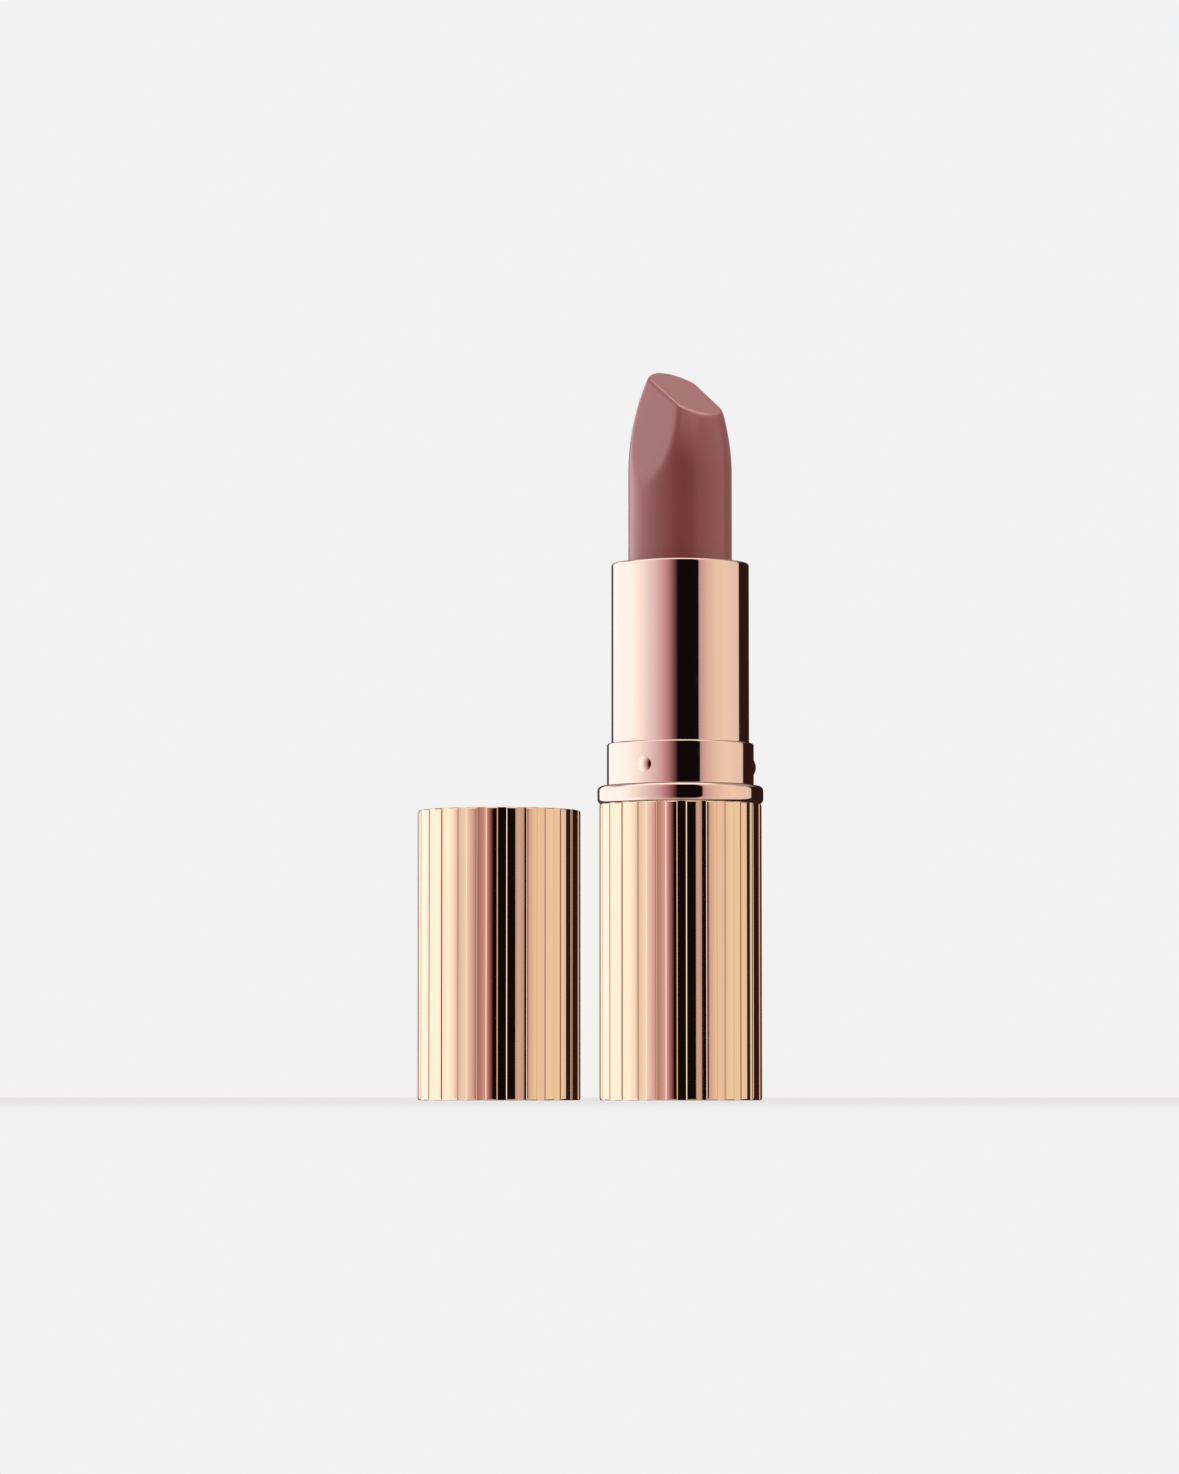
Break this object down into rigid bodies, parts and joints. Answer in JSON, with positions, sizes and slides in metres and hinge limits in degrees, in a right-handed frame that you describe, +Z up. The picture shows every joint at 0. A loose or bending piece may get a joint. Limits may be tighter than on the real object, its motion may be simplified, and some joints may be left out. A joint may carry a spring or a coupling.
{
  "type": "lipstick case",
  "caption": "Twist-up lipstick case: ribbed round base and cap, smooth tube with a snap collar, and a slanted bullet wound up; the cap stands beside it.",
  "frame": {"origin": "centre of the base's underside, on the axis of the base, tube and bullet", "axes": "+Z up along the case's axis, +X from the standing cap towards the case, -Y towards the front"},
  "size_m": [0.0423, 0.0202, 0.0896],
  "materials": {
    "ribbed_metal": "polished rose-gold anodised, pressed ribs",
    "turned_metal": "polished rose-gold anodised, turned",
    "drawn_metal": "polished rose-gold anodised, drawn",
    "steel": "turned, plain",
    "grey_plastic": "moulded, satin",
    "black_plastic": "moulded, satin",
    "white_plastic": "moulded, smooth",
    "clear_grey_plastic": "moulded, smooth",
    "silicone": "matte",
    "label_film": "printed film, plain, no text",
    "lipstick_wax": "satin wax"
  },
  "bodies": {
    "base": {"base_shell": "ribbed_metal", "base_liner": "grey_plastic", "base_weight": "steel", "bottom_disc": "black_plastic", "shade_label": "label_film", "centre_ring": "turned_metal", "slotted_tube": "white_plastic", "brake_ring": "silicone"},
    "tube": {"tube_shell": "drawn_metal", "spiral_sleeve": "clear_grey_plastic"},
    "carrier": {"carrier_cup": "white_plastic", "bullet": "lipstick_wax"},
    "cap": {"cap_shell": "ribbed_metal", "cap_liner": "grey_plastic"}
  },
  "joints": [
    {"name": "tube_twist", "type": "hinge", "parent": "base", "child": "tube", "pos_m": [0, 0, 0.0384], "axis": [0, 0, 1], "range_deg": [0, 630]},
    {"name": "bullet_rise", "type": "slide", "parent": "base", "child": "carrier", "axis": [0, 0, 1], "range_m": [-0.0245, 0]},
    {"name": "cap_lift", "type": "slide", "parent": "base", "child": "cap", "axis": [0, 0, 1], "range_m": [0, 0.06]}
  ],
  "couplings": [
    {"joint": "bullet_rise", "follows": "tube_twist", "m_per_rad": -0.0022282}
  ]
}
